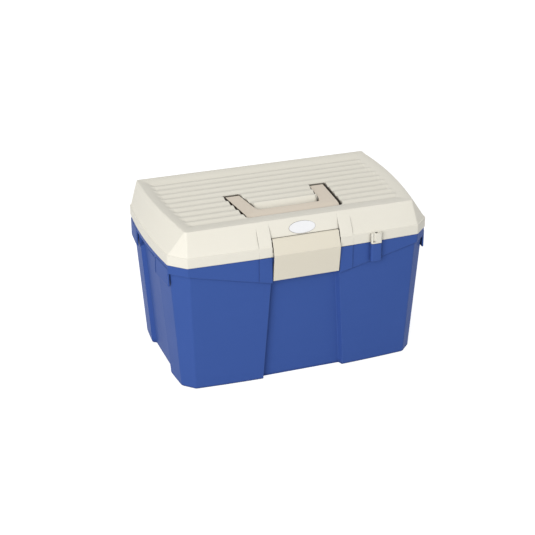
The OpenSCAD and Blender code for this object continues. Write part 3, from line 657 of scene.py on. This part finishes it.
@dataclass
class Moulding:
    """A moulded piece made from a node of the frame."""

    node: str
    body: Body
    slot: Slot
    crease_deg: float = 20.0
    weld: float = 1e-6
    flat_weight: int = 80

    def build(self, material: bpy.types.Material) -> bpy.types.Object:
        """Make the piece and dress it.

        Args:
            material: The finish.

        Returns:
            The new piece.
        """
        mesh = self._welded(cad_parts[self.node].data)
        piece = bpy.data.objects.new(mesh.name, mesh)
        bpy.context.scene.collection.objects.link(piece)
        self._level_normals(piece)
        piece.data.materials.clear()
        piece.data.materials.append(material)
        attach(piece, self.body.value)
        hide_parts(self.node)
        log.info("%s: %d faces, %s", piece.name, len(piece.data.polygons), self.slot.value)
        return piece

    def _welded(self, source: bpy.types.Mesh) -> bpy.types.Mesh:
        """Copy a mesh, join its split corners and mark its true edges.

        Args:
            source: The node's mesh, which stays as it is.

        Returns:
            The new mesh.
        """
        mesh = bpy.data.meshes.new(self.node + "_moulding")
        work = bmesh.new()
        work.from_mesh(source)
        bmesh.ops.remove_doubles(work, verts=work.verts, dist=self.weld)
        self._reshape(work)
        for face in work.faces:
            face.smooth = True
        crease = math.radians(self.crease_deg)
        for edge in work.edges:
            edge.smooth = edge.calc_face_angle(math.pi) < crease
        work.to_mesh(mesh)
        work.free()
        return mesh

    def _reshape(self, work: bmesh.types.BMesh) -> None:
        """Leave the shape as the frame has it."""

    def _level_normals(self, piece: bpy.types.Object) -> None:
        """Let the large faces keep their own normals, so that only the rounded strips shade round.

        Args:
            piece: The piece to change.
        """
        weighted = piece.modifiers.new("level_normals", "WEIGHTED_NORMAL")
        weighted.mode = "FACE_AREA"
        weighted.weight = self.flat_weight
        weighted.keep_sharp = True
        shown = piece.evaluated_get(bpy.context.evaluated_depsgraph_get())
        mesh = bpy.data.meshes.new_from_object(shown)
        piece.modifiers.clear()
        piece.data = mesh
        mesh.name = piece.name


@dataclass
class LidShell(Moulding):
    """The lid's shell, with its dished top worked out in full and room for the raised handle's arms."""

    top: RibbedTop = field(default_factory=RibbedTop)
    relief: float = 0.0004
    relief_low: Point = (0.0520, 0.0055, 0.2330)
    relief_high: Point = (0.0552, 0.0110, 0.2450)

    def _reshape(self, work: bmesh.types.BMesh) -> None:
        """Work out the dished top and ease the handle well's inner corners.

        Args:
            work: The lid's mesh.
        """
        self.top.reshape(work)
        for point in work.verts:
            place = (abs(point.co.x), point.co.y, point.co.z)
            if all(low < part < high for low, part, high in zip(self.relief_low, place, self.relief_high)):
                point.co.x -= math.copysign(self.relief, point.co.x)


@dataclass
class Turning:
    """A rod or pin that stays as the frame has it."""

    node: str
    slot: Slot = Slot.STEEL

    def dress(self, material: bpy.types.Material) -> None:
        """Give the node its finish.

        Args:
            material: The finish.
        """
        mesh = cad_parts[self.node].data
        mesh.materials.clear()
        mesh.materials.append(material)
        log.info("%s: %s", self.node, self.slot.value)


@dataclass
class Tub:
    """The tub with its two hinge rods."""

    shell: Moulding = field(default_factory=lambda: Moulding("tub", Body.TUB, Slot.BLUE))
    sides: tuple[str, ...] = ("left", "right")

    def build(self, finishes: Finishes) -> None:
        """Build and dress the tub.

        Args:
            finishes: The shared finishes.
        """
        self.shell.build(finishes.blue)
        for side in self.sides:
            Turning(f"hinge_rod_{side}").dress(finishes.steel)


@dataclass
class Lid:
    """The lid with its badge and the pins of the handle and the clasp."""

    shell: LidShell = field(default_factory=lambda: LidShell("lid", Body.LID, Slot.IVORY))
    badge: Moulding = field(default_factory=lambda: Moulding("badge", Body.LID, Slot.WHITE, crease_deg=40.0))
    pins: tuple[str, ...] = ("handle_pin_left", "handle_pin_right", "clasp_rod")

    def build(self, finishes: Finishes) -> None:
        """Build and dress the lid.

        Args:
            finishes: The shared finishes.
        """
        self.shell.build(finishes.ivory)
        self.badge.build(finishes.white)
        for pin in self.pins:
            Turning(pin).dress(finishes.steel)


@dataclass
class CarryHandle:
    """The folding handle."""

    bar: Moulding = field(default_factory=lambda: Moulding("carry_handle", Body.HANDLE, Slot.IVORY))

    def build(self, finishes: Finishes) -> None:
        """Build and dress the handle."""
        self.bar.build(finishes.warm_ivory)


@dataclass
class FrontClasp:
    """The clasp with its two sections."""

    plate: Moulding = field(
        default_factory=lambda: Moulding("front_clasp", Body.CLASP, Slot.CREAM, crease_deg=12.0))

    def build(self, finishes: Finishes) -> None:
        """Build and dress the clasp."""
        self.plate.build(finishes.cream)


@dataclass
class Tray:
    """The lift-out tray."""

    shell: Moulding = field(default_factory=lambda: Moulding("tray", Body.TRAY, Slot.IVORY))

    def build(self, finishes: Finishes) -> None:
        """Build and dress the tray."""
        self.shell.build(finishes.ivory)


@dataclass
class Lamp:
    """A soft lamp that faces the box from a bearing left or right of the front."""

    name: str
    bearing_deg: float
    height_deg: float
    watts: float
    size: float = 1.8
    distance: float = 3.0

    def build(self, target: Vector) -> None:
        """Hang the lamp.

        Args:
            target: The point that it faces.
        """
        bearing = math.radians(self.bearing_deg)
        height = math.radians(self.height_deg)
        level = math.cos(height)
        out = Vector((math.sin(bearing) * level, -math.cos(bearing) * level, math.sin(height)))
        light = bpy.data.lights.new(self.name, "AREA")
        light.energy = self.watts
        light.size = self.size
        holder = bpy.data.objects.new(self.name, light)
        bpy.context.scene.collection.objects.link(holder)
        holder.location = target + out * self.distance
        holder.rotation_euler = out.to_track_quat("Z", "Y").to_euler()


@dataclass
class Studio:
    """Floor, backdrop light, lamps and camera."""

    target: Point = (0.0, 0.0, 0.110)
    yaw_deg: float = -20.44
    pitch_deg: float = 25.08
    distance: float = 2.0
    focal_px: float = 1334.0
    shift_px: tuple[float, float] = (8.46, 4.86)
    sensor_mm: float = 36.0
    floor_size: float = 12.0
    floor_tone: float = 0.5
    floor_glow: float = 0.80
    sky: float = 0.56
    key: Lamp = field(default_factory=lambda: Lamp("key_lamp", -42.0, 20.0, 53.0))
    fill: Lamp = field(default_factory=lambda: Lamp("fill_lamp", 50.0, 20.0, 5.0))

    def build(self) -> None:
        """Build the whole set."""
        self._floor()
        self._world()
        for lamp in (self.key, self.fill):
            lamp.build(Vector(self.target))
        self._camera()
        bpy.context.scene.view_settings.view_transform = "Standard"

    @staticmethod
    def _seen(graph: Graph) -> Signal:
        """1 where the camera sees a surface directly, in a reflection or through glass.

        Args:
            graph: The graph that asks.

        Returns:
            The mask.
        """
        camera = graph.node("ShaderNodeLightPath", {}, {}, "Is Camera Ray")
        glossy = graph.node("ShaderNodeLightPath", {}, {}, "Is Glossy Ray")
        through = graph.node("ShaderNodeLightPath", {}, {}, "Is Transmission Ray")
        return (camera + glossy + through).clamped()

    def _floor(self) -> None:
        """Pale floor that keeps the shadow and glows white to the camera."""
        half = self.floor_size / 2
        mesh = bpy.data.meshes.new("floor")
        corners = [(-half, -half, 0.0), (half, -half, 0.0), (half, half, 0.0), (-half, half, 0.0)]
        mesh.from_pydata(corners, [], [(0, 1, 2, 3)])
        floor = bpy.data.objects.new("floor", mesh)
        bpy.context.scene.collection.objects.link(floor)
        mat = Material("floor")
        diffuse = mat.node("ShaderNodeBsdfDiffuse", {}, {"Color": (*[self.floor_tone] * 3, 1.0)})
        glow = mat.node("ShaderNodeEmission", {}, {"Strength": self._seen(mat) * self.floor_glow})
        mesh.materials.append(mat.surface(mat.node("ShaderNodeAddShader", {}, {0: diffuse, 1: glow})))

    def _world(self) -> None:
        """Even sky light, white to the camera."""
        world = bpy.data.worlds.new("studio")
        world.use_nodes = True
        bpy.context.scene.world = world
        graph = Graph(world.node_tree)
        seen = self._seen(graph)
        strength = seen + (1 - seen) * self.sky
        sky = graph.node("ShaderNodeBackground", {}, {"Color": (1.0, 1.0, 1.0, 1.0), "Strength": strength})
        graph.node("ShaderNodeOutputWorld", {}, {"Surface": sky})

    def _camera(self) -> None:
        """Add the camera at the photograph's viewing angle."""
        yaw = math.radians(self.yaw_deg)
        pitch = math.radians(self.pitch_deg)
        back = Vector((math.sin(yaw) * math.cos(pitch), -math.cos(yaw) * math.cos(pitch), math.sin(pitch)))
        lens = bpy.data.cameras.new("camera")
        lens.sensor_width = self.sensor_mm
        lens.lens = self.sensor_mm * self.focal_px / PHOTO_WIDTH
        lens.shift_x = -self.shift_px[0] / PHOTO_WIDTH
        lens.shift_y = self.shift_px[1] / PHOTO_WIDTH
        camera = bpy.data.objects.new("camera", lens)
        bpy.context.scene.collection.objects.link(camera)
        camera.location = Vector(self.target) + back * self.distance
        camera.rotation_euler = back.to_track_quat("Z", "Y").to_euler()
        bpy.context.scene.camera = camera


def main() -> None:
    """Build the box and the set around the frame."""
    logging.basicConfig(level=logging.INFO, format="%(message)s")
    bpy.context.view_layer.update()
    finishes = Finishes()
    for assembly in (Tub(), Lid(), CarryHandle(), FrontClasp(), Tray()):
        assembly.build(finishes)
    Studio().build()


if __name__ == "__main__":
    main()
